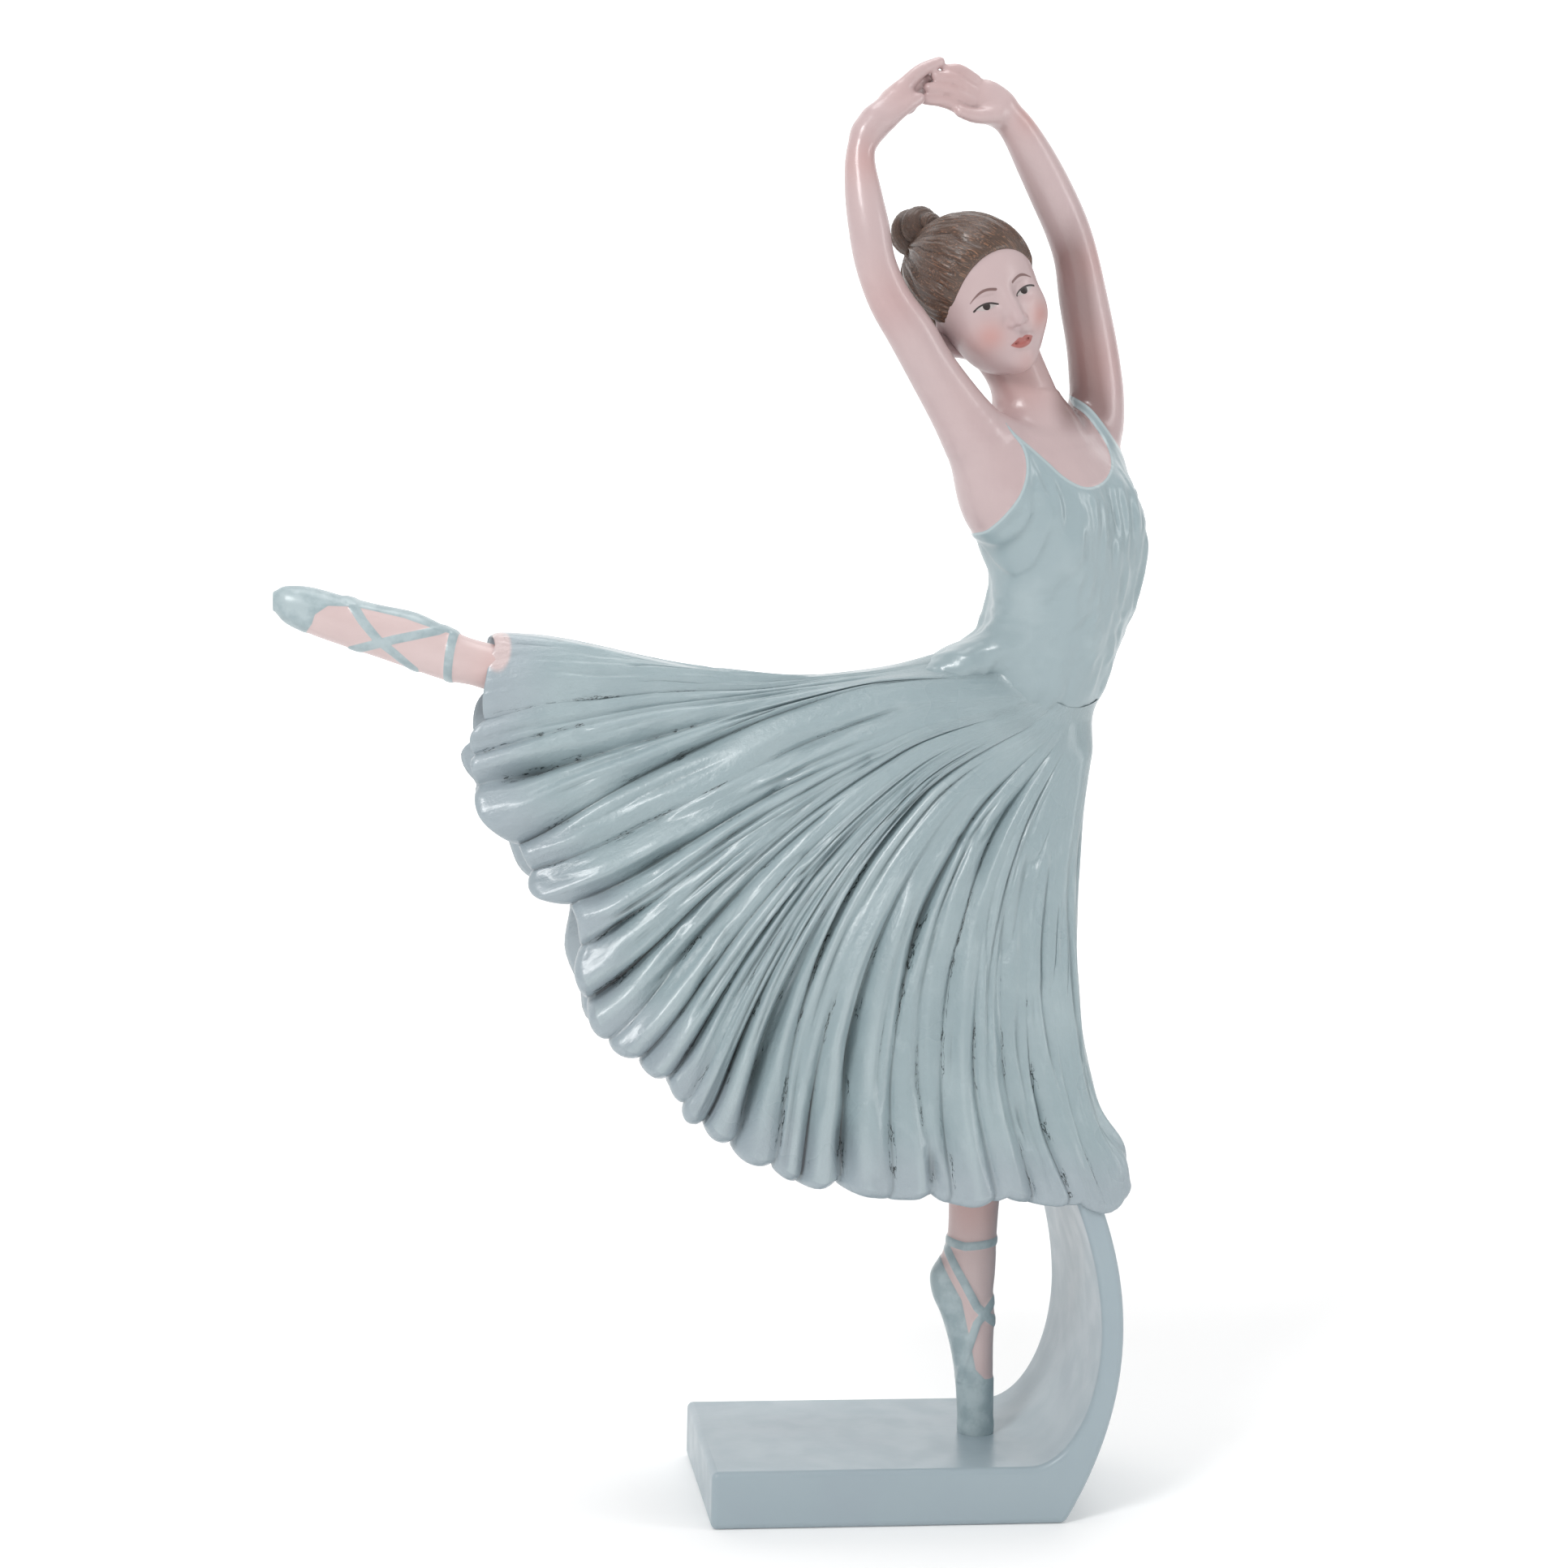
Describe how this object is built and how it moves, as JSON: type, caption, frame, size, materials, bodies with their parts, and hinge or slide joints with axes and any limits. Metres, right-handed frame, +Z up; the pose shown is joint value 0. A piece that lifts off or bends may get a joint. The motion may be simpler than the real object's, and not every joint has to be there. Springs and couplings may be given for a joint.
{
  "type": "ballerina figurine",
  "caption": "Painted resin ballerina figurine in an arabesque with arms raised in a ring, on a slab base whose end sweeps up under the skirt.",
  "frame": {"origin": "centre of the slab's flat underside", "axes": "+Z up, -Y towards the viewer who faces the figure, +X towards the end that carries the support"},
  "size_m": [0.1797, 0.059, 0.2996],
  "materials": {
    "dancer": "cast resin, hand painted, semi-gloss; pale sage-aqua dress, pink skin, brown hair",
    "base": "cast resin painted pale grey-aqua, semi-gloss"
  },
  "bodies": {
    "root": {"dancer": "dancer", "base": "base"}
  },
  "joints": []
}
